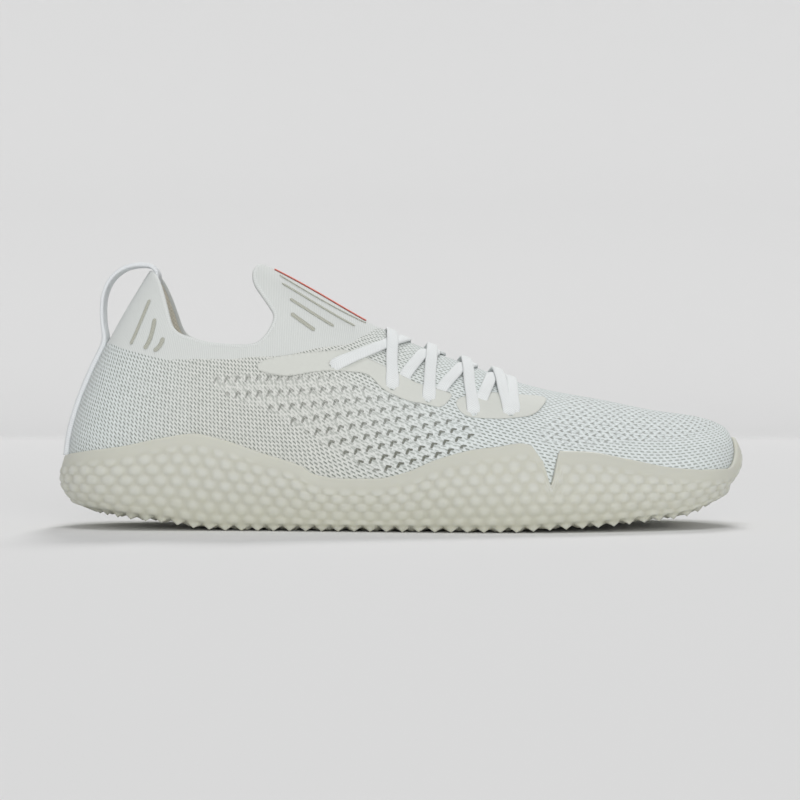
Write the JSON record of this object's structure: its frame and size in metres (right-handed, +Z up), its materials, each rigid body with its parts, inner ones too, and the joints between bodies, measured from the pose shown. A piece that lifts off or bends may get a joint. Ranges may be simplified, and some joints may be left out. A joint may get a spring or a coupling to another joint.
{
  "type": "barefoot shoe",
  "caption": "Low knitted barefoot shoe with a wavy translucent rubber cup sole, soft lugs, criss-cross flat laces and a heel pull loop.",
  "frame": {"origin": "middle of the shoe's box, on the floor under it", "axes": "+X to the toe, +Z up; +Y is the inner side of the foot and -Y the outer side"},
  "size_m": [0.2906, 0.1082, 0.1108],
  "materials": {
    "rubber": "milky satin",
    "knit": "knitted, matt",
    "lining": "matt",
    "film": "satin",
    "lace": "woven, matt",
    "webbing": "woven, matt"
  },
  "bodies": {
    "root": {"outsole": "rubber", "upper": "knit", "insole": "lining", "eyestay_rear_outer": "film", "eyestay_rear_inner": "film", "eyestay_front_outer": "film", "eyestay_front_inner": "film", "laces": "lace", "pull_loop": "webbing"}
  },
  "joints": []
}
